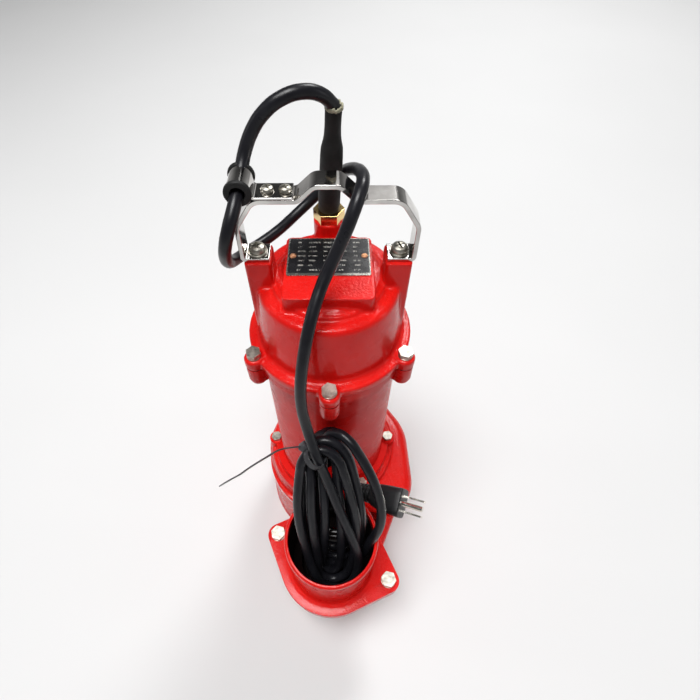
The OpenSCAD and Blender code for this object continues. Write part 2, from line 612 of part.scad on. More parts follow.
base_ring();
base_screws();
suction_cover();
volute_casing();
volute_bolts();
motor_housing();
bearing_bracket();
upper_bracket();
outer_races();
bearing_balls();
inner_races();
shaft();
rotor_core();
impeller();
impeller_nut();
seal_seat();
seal_ring();
seal_spring();
stator_core();
windings();
cap_gasket();
top_cap();
cap_bolts();
cap_washers();
run_capacitor();
terminal_block();
name_plate();
name_plate_rivets();
handle();
handle_screws();
handle_washers();
cable_clamp();
clamp_grommet();
clamp_screws();
gland_nut();
gland_bush();
cable_sleeve();
hose_connector();
connector_gasket();
connector_bolts();
connector_washers();
cable_lead();
cable_hank();
cable_tail();
plug_body();
plug_pins();
cable_tie();
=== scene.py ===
"""Looks of the submersible sewage pump: materials, cast edges, the mains lead and its plug."""
import math

import bmesh
import bpy
import numpy as np
from mathutils import Matrix, Vector

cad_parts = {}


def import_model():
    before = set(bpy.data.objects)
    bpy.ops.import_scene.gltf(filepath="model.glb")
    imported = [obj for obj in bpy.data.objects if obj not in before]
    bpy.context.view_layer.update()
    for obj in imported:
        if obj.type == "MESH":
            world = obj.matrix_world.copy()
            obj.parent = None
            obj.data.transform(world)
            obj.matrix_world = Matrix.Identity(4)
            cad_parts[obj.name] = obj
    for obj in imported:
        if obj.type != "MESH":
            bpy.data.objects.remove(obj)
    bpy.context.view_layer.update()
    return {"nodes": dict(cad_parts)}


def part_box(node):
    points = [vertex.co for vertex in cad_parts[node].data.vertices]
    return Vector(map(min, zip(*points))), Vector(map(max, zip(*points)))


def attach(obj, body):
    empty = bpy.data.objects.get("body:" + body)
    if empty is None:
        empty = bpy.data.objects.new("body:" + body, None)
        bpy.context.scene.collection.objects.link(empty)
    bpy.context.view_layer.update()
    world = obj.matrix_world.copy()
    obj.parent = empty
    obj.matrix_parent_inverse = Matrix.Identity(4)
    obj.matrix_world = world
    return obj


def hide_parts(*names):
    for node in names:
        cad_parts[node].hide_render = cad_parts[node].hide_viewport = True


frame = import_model()
NODES = frame["nodes"]
MM = 0.001


def mm(points):
    """Points in millimetres as vectors in metres."""
    return [Vector(p) * MM for p in points]


# ---------------------------------------------------------------- camera
CAMERA_AT = (0.0048, -0.2294, 0.604)
CAMERA_DOWN, CAMERA_TURN = 53.44, -0.2     # degrees below the horizon, and to the left
LENS, SENSOR, SHIFT_X = 23.25, 36, 0.0186


def make_camera():
    data = bpy.data.cameras.new("camera")
    cam = bpy.data.objects.new("camera", data)
    bpy.context.scene.collection.objects.link(cam)
    cam.location = CAMERA_AT
    cam.rotation_euler = (math.radians(90 - CAMERA_DOWN), 0, math.radians(CAMERA_TURN))
    data.lens = LENS
    data.sensor_width = SENSOR
    data.shift_x = SHIFT_X
    data.clip_start = 0.01
    bpy.context.scene.camera = cam


make_camera()

# ---------------------------------------------------------------- mains lead
CORD_D = 8.0
SLEEVE_TOP = (4, 36, 480)
LEAD = [(4, 36, 480), (2, 34, 486), (-3, 30, 491), (-10, 26, 494), (-18, 24, 494), (-26, 22, 491),
        (-33, 20, 486), (-39, 19, 479), (-44, 18, 471), (-48, 16, 463), (-50, 11, 456),
        (-50, 4, 453.5), (-50, -6, 453.5), (-51, -14, 451), (-53, -20, 446), (-56, -25, 440),
        (-59, -26, 431), (-62, -22, 419), (-64, -13, 406), (-63.5, -1, 396), (-60, 12, 391),
        (-50, 24, 389), (-43, 34, 388), (-36, 43, 388), (-30, 51, 389), (-23, 58, 392),
        (-12, 65, 399), (-1, 66, 409), (7, 60, 421), (12, 48, 433), (16, 34, 442), (19, 22, 449),
        (21, 11, 453), (21, 3, 455), (20, -6, 456), (18, -13, 455), (15, -18, 449), (11, -22, 438),
        (6, -25, 427), (1, -30, 417), (-4, -37, 409), (-8, -47, 402), (-12, -57, 392),
        (-15, -65, 378), (-18, -71, 360), (-19, -75, 342), (-19, -77, 327), (-18, -79, 314),
        (-16, -81, 303), (-14, -81, 296)]
TAIL = [(8, -78, 260), (1, -78, 248), (-7, -79, 236), (-14, -80, 223), (-17, -80, 210),
        (-14, -80, 198), (-6, -78, 191), (7, -78, 188), (21, -83, 190)]
# the hank's own frame: x across, height up along it, depth towards the front
HANK_FOOT = np.array((0, -150, 158.0))
HANK_UP = np.array((0, 0.4505, 0.8928))
HANK_FRONT = np.array((0, -0.8928, 0.4505))
# each turn, in that frame: over the top to the right, down, across the foot, up on the left
TURNS = [
    [(-9, 134, 2), (-3, 117, 3), (4, 92, 3), (11, 70, 3), (18, 48, 2), (24.5, 27, 1),
     (24, 8, -3), (21, -12, -5), (12, -28, -7), (0, -31, -8), (-10, -22, -6), (-12, -4, -4),
     (-15, 12, -3), (-22, 35, -1), (-26, 60, 0), (-27, 86, 0), (-25, 110, 0), (-20, 128, -3)],
    [(-15, 137, -6), (-8, 145, -5), (0, 141, -1), (6, 130, 0), (13, 108, 0), (18, 86, -1),
     (22, 62, -3), (22, 38, -5), (20, 14, -8), (16, -10, -13), (6, -26, -17), (-5, -26, -17),
     (-13, -10, -11), (-12, 14, -4), (-14, 46, 0), (-16, 72, 0), (-16, 96, 0), (-15, 115, -2),
     (-14, 131, -8)],
    [(-9, 140, -13), (0, 146, -12), (7, 142, -9), (12, 133, -9), (16, 118, -9), (20, 102, -9),
     (24, 84, -9), (26, 66, -10), (27, 42, -14), (25, 16, -19), (20, -8, -24), (9, -22, -28),
     (-3, -22, -28), (-9, -6, -21), (-7, 20, -8), (-5, 54, -4), (-5, 84, -4), (-6, 110, -7),
     (-10, 130, -15)],
    [(-8, 141, -19), (2, 149, -14), (12, 147, -6), (22, 137, -2), (31, 119, 0), (38, 100, 0),
     (42, 82, 0), (43, 66, 0), (40, 47, -3), (35, 26, -9), (29, 4, -19), (18, -16, -29),
     (4, -24, -34), (-10, -18, -33), (-20, 2, -26), (-24, 26, -17), (-25, 50, -12),
     (-24, 74, -10), (-21, 104, -12), (-17, 128, -17)],
    [(-10, 139, -20), (-3, 142, -14), (1, 132, -8), (4, 112, -5), (7, 90, -5), (8.5, 66, -5),
     (9, 44, -5), (9, 22, -8), (8, 0, -14), (3, -20, -24), (-6, -26, -30), (-15, -14, -31),
     (-19, 10, -27), (-19, 42, -24), (-17, 76, -21), (-15, 106, -21), (-13, 129, -24)],
    [(-8, 140, -25), (0, 142, -21), (8, 135, -17), (13, 118, -16), (15, 94, -17),
     (17, 66, -18), (19, 38, -24), (18, 12, -33), (11, -10, -40), (-2, -16, -43),
     (-12, -4, -41), (-14, 20, -35), (-13, 44, -31), (-11, 72, -27), (-9, 100, -25),
     (-9, 122, -26)],
    [(-6, 138, -28), (1, 139, -26), (8, 138, -22), (11, 128, -20)],
]
MOUTH = (0, -124, 184, 38.5, 97)  # the connector's bore: x, y, rim height, radius and foot
ELBOW = (0, -124, 112, 36, 72.5)  # the same of the volute's elbow below it
MOTOR_R, MOTOR_TOP = 56.0, 300
STEP, LEAD_STEP = 4.0, 6.0        # between the points of the hank's route, and of the lead's
ALONG = 3.2 * CORD_D              # points nearer than this along the cord don't push each other
FOLD_R = 13.0                     # the radius that the hank's folds are opened towards
FOLD_REACH = (3, 4, 5, 6, 8)      # the fold is kept open between points this many steps apart
STRAND_GAP, WALL_GAP = 0.15, 0.3
ROUNDS, HOME_ROUNDS = 260, 182    # in all, and those that also draw the strands to their route
PUSH, SMOOTH, STIFF, OPEN, HOME = 0.3, 0.06, 0.05, 0.12, 0.04   # shares applied in one round
EASE = 6                          # points beyond each end of the hank that give way gradually
CURVE_STEP = 12                   # between the points of the finished curve


def in_hank(p):
    """A point of the hank's own frame in the part's frame."""
    return HANK_FOOT + np.array((p[0], 0, 0)) + HANK_UP * p[1] + HANK_FRONT * p[2]


def catmull(points, step):
    """Points on a smooth curve through these, about step apart."""
    p = np.vstack([2 * points[0] - points[1], points, 2 * points[-1] - points[-2]])
    out = []
    for i in range(1, len(p) - 2):
        a, b, c, d = p[i - 1:i + 3]
        n = max(1, round(float(np.linalg.norm(c - b)) / step))
        for t in np.arange(n)[:, None] / n:
            out.append(0.5 * (2 * b + (c - a) * t + (2 * a - 5 * b + 4 * c - d) * t ** 2
                              + (3 * b - a - 3 * c + d) * t ** 3))
    return np.vstack([*out, points[-1]])


def settle(line, free):
    """Pushes a cord's strands towards a diameter apart and off the metal, keeping it smooth."""
    n, home = len(line), line.copy()
    apart = CORD_D + STRAND_GAP
    near = np.abs(np.subtract.outer(np.arange(n), np.arange(n))) * STEP < ALONG
    p = line.copy()
    for k in range(ROUNDS):
        gap = p[:, None] - p[None]
        dist = np.linalg.norm(gap, axis=2) + 1e-9
        push = np.where(near, 0, np.clip(apart - dist, 0, None))
        move = (gap / dist[..., None] * push[..., None]).sum(1) * PUSH
        bend = p[:-2] + p[2:] - 2 * p[1:-1]
        move[1:-1] += bend * SMOOTH
        move[2:-2] -= (bend[:-2] + bend[2:] - 2 * bend[1:-1]) * STIFF
        for m in FOLD_REACH:
            turn = min(m * STEP / (2 * FOLD_R), math.pi / 2)
            d = p[m:] - p[:-m]
            far = np.linalg.norm(d, axis=1)[:, None] + 1e-9
            open_up = d / far * np.clip(2 * FOLD_R * math.sin(turn) - far, 0, None) * OPEN
            move[m:] += open_up
            move[:-m] -= open_up
        if k < HOME_ROUNDS:
            move += (home - p) * HOME
        p = p + move * free[:, None]
        # kept inside the mouth's wall and outside the motor
        off = p[:, :2] - MOUTH[:2]
        r = np.linalg.norm(off, axis=1) + 1e-9
        inside = (p[:, 2] < MOUTH[2] + 3) & (free > 0.5)
        lim = MOUTH[3] - CORD_D / 2 - WALL_GAP
        s = np.where(inside & (r > lim), lim / r, 1)
        p[:, :2] = MOUTH[:2] + off * s[:, None]
        r = np.linalg.norm(p[:, :2], axis=1)
        lim = MOTOR_R + CORD_D / 2 + WALL_GAP
        out = (r < lim) & (p[:, 2] < MOTOR_TOP) & (free > 0.5)
        p[:, :2] *= np.where(out, lim / r, 1)[:, None]
    return p


def cord_route():
    """The whole cord as points, the run up to each, and how many are the lead's and turns'."""
    lead = catmull(np.array(LEAD, float), LEAD_STEP)
    turns = catmull(np.array([LEAD[-2], LEAD[-1]] + [in_hank(p) for t in TURNS for p in t]
                             + TAIL[:2], float), STEP)
    turns = turns[np.linalg.norm(turns - np.array(LEAD[-1]), axis=1).argmin() + 1:]
    tail = catmull(np.array(TAIL, float), STEP)
    turns = turns[:-round(np.linalg.norm(np.array(TAIL[1]) - TAIL[0]) / STEP) - 1]
    line = np.vstack([lead, turns, tail])
    free = np.zeros(len(line))
    free[len(lead):len(lead) + len(turns)] = 1
    for i in range(EASE):
        free[len(lead) - 1 - i] = 0.8 - i * 0.13
        free[len(lead) + len(turns) + i] = 0.8 - i * 0.13
    line = settle(line, free)
    for _ in range(3):                             # a last smoothing
        line[1:-1] += (line[:-2] + line[2:] - 2 * line[1:-1]) * 0.25
    run = np.concatenate([[0], np.cumsum(np.linalg.norm(np.diff(line, axis=0), axis=1))])
    return line, run, len(lead), len(turns)


def evenly(line, run, step):
    """The line again, with its points about step apart."""
    at = np.linspace(0, run[-1], round(run[-1] / step) + 1)
    return np.stack([np.interp(at, run, line[:, i]) for i in range(3)], axis=1)


def curve_piece(name, points, radius):
    """A tube along one open spline through these points, in metres."""
    data = bpy.data.curves.new(name, "CURVE")
    data.dimensions = "3D"
    data.bevel_depth = 1.0
    data.bevel_resolution = 5
    data.resolution_u = 5
    data.use_fill_caps = True
    spline = data.splines.new("BEZIER")
    spline.bezier_points.add(len(points) - 1)
    for b, p in zip(spline.bezier_points, points):
        b.co, b.radius = p, radius
        b.handle_left_type = b.handle_right_type = "AUTO"
    obj = bpy.data.objects.new(name, data)
    bpy.context.scene.collection.objects.link(obj)
    return obj


ROUTE, RUN, LEAD_N, TURN_N = cord_route()
lead_obj = curve_piece("mains_lead", mm(evenly(ROUTE, RUN, CURVE_STEP)), CORD_D / 2 * MM)
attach(lead_obj, "pump")
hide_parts("cable_lead", "cable_hank", "cable_tail")


# ---------------------------------------------------------------- materials
class Graph:
    """A small helper for building one material's nodes."""

    def __init__(self, name):
        self.mat = bpy.data.materials.new(name)
        self.mat.use_nodes = True
        self.tree = self.mat.node_tree
        self.bsdf = self.tree.nodes["Principled BSDF"]
        self.coord = self.tree.nodes.new("ShaderNodeTexCoord").outputs["Object"]

    def link(self, a, b):
        self.tree.links.new(a, b)

    def noise(self, scale, detail, rough=0.5, stretch=None):
        n = self.tree.nodes.new("ShaderNodeTexNoise")
        n.inputs["Scale"].default_value = scale
        n.inputs["Detail"].default_value = detail
        n.inputs["Roughness"].default_value = rough
        source = self.coord
        if stretch:
            m = self.tree.nodes.new("ShaderNodeMapping")
            m.inputs["Scale"].default_value = stretch
            self.link(self.coord, m.inputs["Vector"])
            source = m.outputs["Vector"]
        self.link(source, n.inputs["Vector"])
        return n.outputs["Fac"]

    def math(self, op, a, b=0.5):
        n = self.tree.nodes.new("ShaderNodeMath")
        n.operation = op
        for socket, v in zip(n.inputs, (a, b)):
            if isinstance(v, (int, float)):
                socket.default_value = v
            else:
                self.link(v, socket)
        return n.outputs[0]

    def ramp(self, value, low, high, out_low=0.0, out_high=1.0):
        n = self.tree.nodes.new("ShaderNodeMapRange")
        for key, v in zip(("From Min", "From Max", "To Min", "To Max"),
                          (low, high, out_low, out_high)):
            n.inputs[key].default_value = v
        self.link(value, n.inputs["Value"])
        return n.outputs["Result"]

    def mix(self, factor, a, b):
        n = self.tree.nodes.new("ShaderNodeMix")
        n.data_type = "RGBA"
        self.link(factor, n.inputs["Factor"])
        for socket, v in ((n.inputs[6], a), (n.inputs[7], b)):
            if isinstance(v, tuple):
                socket.default_value = (*v, 1)
            else:
                self.link(v, socket)
        return n.outputs[2]

    def split(self, what="position"):
        """The x, y and z of the place (object coordinates) or of the surface's normal."""
        n = self.tree.nodes.new("ShaderNodeSeparateXYZ")
        if what == "normal":
            g = self.tree.nodes.new("ShaderNodeNewGeometry")
            self.link(g.outputs["Normal"], n.inputs[0])
        else:
            self.link(self.coord, n.inputs[0])
        return n.outputs

    def bump(self, *layers, into="Normal"):
        """Bump from (height socket, depth in metres) pairs, one on another."""
        previous = None
        for height, depth in layers:
            b = self.tree.nodes.new("ShaderNodeBump")
            b.inputs["Strength"].default_value = 1.0
            b.inputs["Distance"].default_value = depth
            self.link(height, b.inputs["Height"])
            if previous:
                self.link(previous, b.inputs["Normal"])
            previous = b.outputs["Normal"]
        self.link(previous, self.bsdf.inputs[into])

    def set(self, **values):
        for key, value in values.items():
            socket = self.bsdf.inputs[key.replace("_", " ")]
            if isinstance(value, tuple):
                socket.default_value = (*value, 1)
            elif isinstance(value, (int, float)):
                socket.default_value = value
            else:
                self.link(value, socket)


RED, RED_DARK = (0.66, 0.010, 0.007), (0.55, 0.006, 0.005)
# near black for the insides of the bores is painted shade where they lie in shadow; the pale bare
# iron is partly a painted highlight along the base's seam
BORE_PAINTED_SHADE, BARE_IRON_HIGHLIGHT = (0.012, 0.008, 0.008), (0.62, 0.60, 0.58)


def red_paint(name, cast, bare=None, bore=None):
    """Glossy enamel. cast: how rough the casting under it is on faces that look up. bare:
    two heights with pale bare iron between them, partly a painted highlight along the seam.
    bore: a round bore whose inside is coloured near black as painted shade."""
    g = Graph(name)
    broad = g.noise(18, 3)
    colour = g.mix(g.ramp(broad, 0.35, 0.7), RED, RED_DARK)
    grain = g.noise(520, 3, 0.6)
    up = g.ramp(g.split("normal")[2], 0.55, 0.95, 0.12, 1.0)
    rough_height = g.math("MULTIPLY", grain, up)
    rough = g.ramp(g.noise(60, 4), 0.3, 0.7, 0.22, 0.36)
    # painted shade: inside the bore, below its rim and above its foot, the paint is coloured near
    # black where the bore lies in shadow
    if bore:
        _, at_y, rim, radius, foot = bore
        x, y, z = g.split()
        r = g.math("POWER", g.math("ADD", g.math("POWER", x, 2.0), g.math(
            "POWER", g.math("SUBTRACT", y, at_y * MM), 2.0)), 0.5)
        inner = g.math("MULTIPLY", g.math("LESS_THAN", r, radius * MM + 0.0004),
                       g.ramp(z, (rim - 12) * MM, (rim - 2) * MM, 1.0, 0.0))
        inner = g.math("MULTIPLY", inner, g.math("GREATER_THAN", z, foot * MM))
        colour = g.mix(inner, colour, BORE_PAINTED_SHADE)
        rough = g.math("MAXIMUM", rough, g.math("MULTIPLY", inner, 0.85))
        rough_height = g.math("MULTIPLY", rough_height, g.math("SUBTRACT", 1.0, inner))
    # bare iron at the seam, pale so that it also paints in the highlight line along it
    if bare:
        z = g.split()[2]
        edge = g.math("MULTIPLY", g.math("GREATER_THAN", z, bare[0] * MM),
                      g.math("LESS_THAN", z, bare[1] * MM))
        colour = g.mix(edge, colour, BARE_IRON_HIGHLIGHT)
    g.set(Base_Color=colour, Metallic=0.0, Coat_Weight=0.12 + 0.2 * cast, Coat_Roughness=0.05,
          Roughness=rough, Specular_IOR_Level=0.08)
    g.bump((g.noise(240, 2, 0.4), 0.00004 + 0.00008 * cast), (rough_height, 0.0009 * cast))
    g.bump((rough_height, 0.00022 * cast), into="Coat Normal")      # the enamel fills the grain
    return g.mat


def metal(name, colour, other, rough, scale, scratch=None, depth=0.00001):
    """Bare or plated metal in two tints; on the chrome the light and dark patches are painted
    reflections. scratch stretches its fine grain.
    """
    g = Graph(name)
    # on the chrome these two tints are painted reflections; on the other metals they are a plain
    # variation of tone
    tint = g.mix(g.ramp(g.noise(scale, 3), 0.35, 0.7), colour, other)
    g.set(Base_Color=tint, Metallic=1.0,
          Roughness=g.ramp(g.noise(scale * 2.3, 4), 0.3, 0.7, *rough))
    g.bump((g.noise(scale * 8, 2, 0.5, scratch), depth))
    return g.mat


def matt(name, colour, other, rough, scale, depth, sheen=0.0, coat=0.0):
    """Rubber, plastic or ceramic in two tints, with a fine grain."""
    g = Graph(name)
    tint = g.mix(g.ramp(g.noise(scale * 0.2, 3), 0.3, 0.75), colour, other)
    g.set(Base_Color=tint, Roughness=g.ramp(g.noise(scale * 0.5, 4), 0.3, 0.7, *rough),
          Specular_IOR_Level=0.25, Sheen_Weight=sheen, Coat_Weight=coat, Coat_Roughness=0.25)
    g.bump((g.noise(scale, 3, 0.55), depth))
    return g.mat


PLATE_ROW, PLATE_ROWS, PLATE_COLUMN = 4.6, 7.0, 10.2     # row pitch, row count, column pitch
RIVET_X, RIVET_CLEAR = 24.0, 2.6


def name_plate():
    """Black enamel with a bare metal margin and rows of plain dashes (no lettering)."""
    g = Graph("plate")
    lo, hi = (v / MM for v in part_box("name_plate"))
    x, y, _ = (g.math("MULTIPLY", s, 1 / MM) for s in g.split())
    rows = g.math("DIVIDE", g.math("SUBTRACT", y, lo.y + 4.5), PLATE_ROW)
    in_row = g.math("MULTIPLY", g.math("LESS_THAN", g.math("FRACT", rows), 0.30),
                    g.math("MULTIPLY", g.math("GREATER_THAN", rows, 0.0),
                           g.math("LESS_THAN", rows, PLATE_ROWS)))
    column = g.math("FRACT", g.math("DIVIDE", g.math("SUBTRACT", x, lo.x + 3.0), PLATE_COLUMN))
    dash = g.math("MULTIPLY", g.math("GREATER_THAN", column, 0.12),
                  g.math("LESS_THAN", column, g.ramp(g.noise(90, 0), 0.3, 0.7, 0.35, 0.9)))
    grain = g.math("GREATER_THAN", g.noise(1500, 1, 0.5, (1, 0.35, 1)), 0.47)
    marks = g.math("MULTIPLY", g.math("MULTIPLY", in_row, dash), grain)
    clear = g.math("GREATER_THAN", g.math("SUBTRACT", RIVET_X, g.math("ABSOLUTE", x)),
                   RIVET_CLEAR)
    marks = g.math("MULTIPLY", marks, clear)
    margin = g.math("MAXIMUM", g.math("LESS_THAN", y, lo.y + 2.2), g.math(
        "MAXIMUM", g.math("GREATER_THAN", y, hi.y - 0.7),
        g.math("GREATER_THAN", g.math("ABSOLUTE", x), hi.x - 0.8)))
    bright = g.math("MAXIMUM", marks, margin)
    g.set(Base_Color=g.mix(bright, (0.010, 0.010, 0.012), (0.36, 0.35, 0.32)),
          Metallic=g.math("MULTIPLY", margin, 0.9), Coat_Weight=0.25, Coat_Roughness=0.1,
          Roughness=g.ramp(g.noise(150, 3), 0.3, 0.7, 0.2, 0.32))
    g.bump((bright, 0.00002))
    return g.mat


M = {
    "red_smooth": red_paint("red_smooth", 0.06),
    "red_cast": red_paint("red_cast", 1.0),
    "red_volute": red_paint("red_volute", 1.0, bore=ELBOW),
    # the pale band at the top of the base ring is partly a painted highlight along the seam
    "red_base": red_paint("red_base", 0.5, bare=(78.4, 80.05)),
    "red_mouth": red_paint("red_mouth", 0.9, bore=MOUTH),
    "zinc": metal("zinc", (0.56, 0.54, 0.48), (0.25, 0.23, 0.19), (0.30, 0.48), 260,
                  None, 0.000012),
    # chrome: light and dark patches of colour painted in as reflections of bright and dark
    # surroundings
    "chrome": metal("chrome", (0.72, 0.70, 0.67), (0.36, 0.34, 0.33), (0.05, 0.13), 45,
                    None, 0.00004),
    "brass": metal("brass", (0.86, 0.64, 0.30), (0.74, 0.50, 0.20), (0.14, 0.26), 120),
    "pin_nickel": metal("pin_nickel", (0.80, 0.77, 0.70), (0.70, 0.66, 0.58), (0.12, 0.25), 150),
    "copper": metal("copper", (0.80, 0.40, 0.22), (0.62, 0.28, 0.14), (0.25, 0.4), 200,
                    (1, 1, 12), 0.0003),
    "steel": metal("steel", (0.62, 0.62, 0.63), (0.50, 0.50, 0.52), (0.18, 0.34), 120),
    "sheets": metal("sheets", (0.36, 0.37, 0.39), (0.26, 0.27, 0.29), (0.35, 0.5), 120,
                    (1, 1, 40), 0.0003),
    "jacket": matt("jacket", (0.006, 0.006, 0.008), (0.011, 0.011, 0.014), (0.27, 0.38),
                   420, 0.00006),
    "sleeve": matt("sleeve", (0.008, 0.008, 0.008), (0.014, 0.014, 0.014), (0.62, 0.85),
                   260, 0.0002, sheen=0.05),
    "rubber": matt("rubber", (0.010, 0.010, 0.010), (0.018, 0.018, 0.018), (0.45, 0.65),
                   320, 0.0001),
    "plug_black": matt("plug_black", (0.006, 0.006, 0.007), (0.011, 0.011, 0.012),
                       (0.34, 0.5), 500, 0.00005, coat=0.05),
    "nylon": matt("nylon", (0.025, 0.025, 0.027), (0.055, 0.055, 0.06), (0.3, 0.45),
                  600, 0.00005),
    "can": matt("can", (0.03, 0.03, 0.034), (0.04, 0.04, 0.045), (0.2, 0.35), 200, 0.00005),
    "block": matt("block", (0.70, 0.66, 0.56), (0.62, 0.58, 0.48), (0.4, 0.55), 300,
                  0.00005),
    "ceramic": matt("ceramic", (0.80, 0.77, 0.70), (0.74, 0.70, 0.62), (0.15, 0.25), 300,
                    0.00002),
    "frayed": matt("frayed", (0.20, 0.19, 0.12), (0.42, 0.40, 0.30), (0.55, 0.8), 900,
                   0.0004),
    "plate": name_plate(),
}

LOOK = {
    "red_volute": ["volute_casing"],
    "red_cast": ["top_cap", "bearing_bracket", "upper_bracket", "impeller",
                 "suction_cover"],
    "red_smooth": ["motor_housing"],
    "red_base": ["base_ring"],
    "red_mouth": ["hose_connector"],
    "zinc": ["base_screws", "volute_bolts", "cap_bolts", "cap_washers", "handle_screws",
             "handle_washers", "clamp_screws", "connector_bolts", "connector_washers"],
    "chrome": ["handle", "cable_clamp", "bearing_balls"],
    "brass": ["gland_nut"],
    "pin_nickel": ["plug_pins"],
    "copper": ["windings", "name_plate_rivets"],
    "steel": ["outer_races", "inner_races", "shaft", "impeller_nut", "seal_spring"],
    "sheets": ["rotor_core", "stator_core"],
    "rubber": ["cap_gasket", "connector_gasket", "gland_bush", "clamp_grommet", "seal_ring"],
    "can": ["run_capacitor"],
    "block": ["terminal_block"],
    "ceramic": ["seal_seat"],
    "plate": ["name_plate"],
    "plug_black": ["plug_body"],
    "sleeve": ["cable_sleeve"],
    "jacket": ["cable_lead", "cable_hank", "cable_tail"],
    "nylon": ["cable_tie"],
}


def paint(obj, name):
    obj.data.materials.clear()
    obj.data.materials.append(M[name])


for look, names in LOOK.items():
    for n in names:
        paint(NODES[n], look)
paint(lead_obj, "jacket")

# ---------------------------------------------------------------- edges of the CAD nodes
BEVEL = {"handle": 0.45, "cable_clamp": 0.3, "motor_housing": 0.9, "hose_connector": 1.0,
         "base_ring": 1.0, "name_plate": 0.15, "cap_bolts": 0.35, "volute_bolts": 0.35,
         "connector_bolts": 0.45, "cap_washers": 0.2, "connector_washers": 0.25,
         "handle_washers": 0.2, "handle_screws": 0.12, "clamp_screws": 0.1, "gland_nut": 0.4,
         "clamp_grommet": 0.3, "base_screws": 0.2, "plug_pins": 0.4, "suction_cover": 0.5,
         "impeller": 0.5}
CAST = {"top_cap": (1.0, 3), "volute_casing": (1.1, 4)}       # voxel in mm, smoothing rounds
SHARP = math.radians(32)


def modifier(obj, kind, **values):
    m = obj.modifiers.new(kind.lower(), kind)
    for key, value in values.items():
        setattr(m, key, value)


def edges(name, obj):
    """Rounds a CAD node's edges: melted where it is cast, bevelled or just kept crisp."""
    custom = obj.data.attributes.get("custom_normal")
    if custom:
        obj.data.attributes.remove(custom)
    obj.data.polygons.foreach_set("use_smooth", [True] * len(obj.data.polygons))
    modifier(obj, "WELD", merge_threshold=0.00002)
    if name in CAST:
        voxel, rounds = CAST[name]
        modifier(obj, "REMESH", mode="VOXEL", voxel_size=voxel * MM, use_smooth_shade=True)
        modifier(obj, "SMOOTH", factor=0.5, iterations=rounds)
    elif name in BEVEL:
        modifier(obj, "BEVEL", width=BEVEL[name] * MM, segments=2, limit_method="ANGLE",
                 angle_limit=SHARP, harden_normals=True)
    else:
        modifier(obj, "EDGE_SPLIT", split_angle=SHARP)


for name, obj in NODES.items():
    edges(name, obj)


# ---------------------------------------------------------------- mesh pieces
def mesh_piece(name, verts, faces, material, slot, smooth=True):
    me = bpy.data.meshes.new(name)
    me.from_pydata([tuple(v) for v in verts], [], faces)
    me.update()
    bm = bmesh.new()
    bm.from_mesh(me)
    bmesh.ops.recalc_face_normals(bm, faces=bm.faces)
    bm.to_mesh(me)
    bm.free()
    me.polygons.foreach_set("use_smooth", [smooth] * len(me.polygons))
    obj = bpy.data.objects.new(name, me)
    bpy.context.scene.collection.objects.link(obj)
    obj.data.materials.append(M[material])
    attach(obj, "pump")
    return obj


def lofted(rings, close_ends=True):
    """Vertices and faces of a skin over rings with the same number of points each."""
    n = len(rings[0])
    verts = [p for ring in rings for p in ring]
    faces = [(i * n + k, i * n + (k + 1) % n, (i + 1) * n + (k + 1) % n, (i + 1) * n + k)
             for i in range(len(rings) - 1) for k in range(n)]
    if close_ends:
        faces.append(tuple(range(n))[::-1])
        faces.append(tuple((len(rings) - 1) * n + k for k in range(n)))
    return verts, faces


def rounded(w, h, power, n=48):
    """Points of a rounded rectangle of half sizes w and h (a superellipse)."""
    out = []
    for k in range(n):
        t = 2 * math.pi * k / n
        c, s = math.cos(t), math.sin(t)
        out.append((math.copysign(abs(c) ** (2 / power), c) * w,
                    math.copysign(abs(s) ** (2 / power), s) * h))
    return out


def rotation(ry, rz, roll):
    """A roll about z, then a turn about y and one about z, in degrees."""
    return (Matrix.Rotation(math.radians(rz), 4, "Z") @ Matrix.Rotation(math.radians(ry), 4, "Y")
            @ Matrix.Rotation(math.radians(roll), 4, "Z"))


# the plug: a moulded body and a ribbed strain relief; its pins are the CAD node
PLUG_AT = Matrix.Translation(Vector((63.5, -101.7, 205))) @ rotation(71.8, -24, 20)


def plug():
    # distance along the plug's axis, half width, half height and squareness of each ring
    profile = [(-48.5, 5.4, 5.4, 2.0), (-48, 5.8, 5.8, 2.0)]
    for k in range(5):                             # ribs of the strain relief
        z, r = -46.5 + k * 3.2, 5.6 + k * 0.45
        profile += [(z, r + 0.9, r + 0.9, 2.1), (z + 1.5, r + 1.0, r + 1.0, 2.1),
                    (z + 1.8, r - 0.3, r - 0.3, 2.1), (z + 2.8, r - 0.2, r - 0.2, 2.1)]
    profile += [(-30, 7.8, 8.2, 2.4), (-27, 9.0, 9.8, 2.7), (-22, 9.9, 11.0, 3.2),
                (-14, 10.6, 11.8, 3.8), (-6, 11.1, 12.3, 4.4), (-1.2, 11.3, 12.5, 5.0),
                (-0.3, 11.0, 12.2, 5.0), (0, 10.3, 11.5, 5.0)]
    rings = [[PLUG_AT @ Vector((x - 1, y, z)) * MM for x, y in rounded(w, h, p)]
             for z, w, h, p in profile]
    obj = mesh_piece("plug_moulding", *lofted(rings), "plug_black", "cord_black")
    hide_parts("plug_body")
    return obj


plug_piece = plug()


# the sleeve over the cable's exit, and the frayed tape at its top
SLEEVE_FOOT = (0, 46, 404)


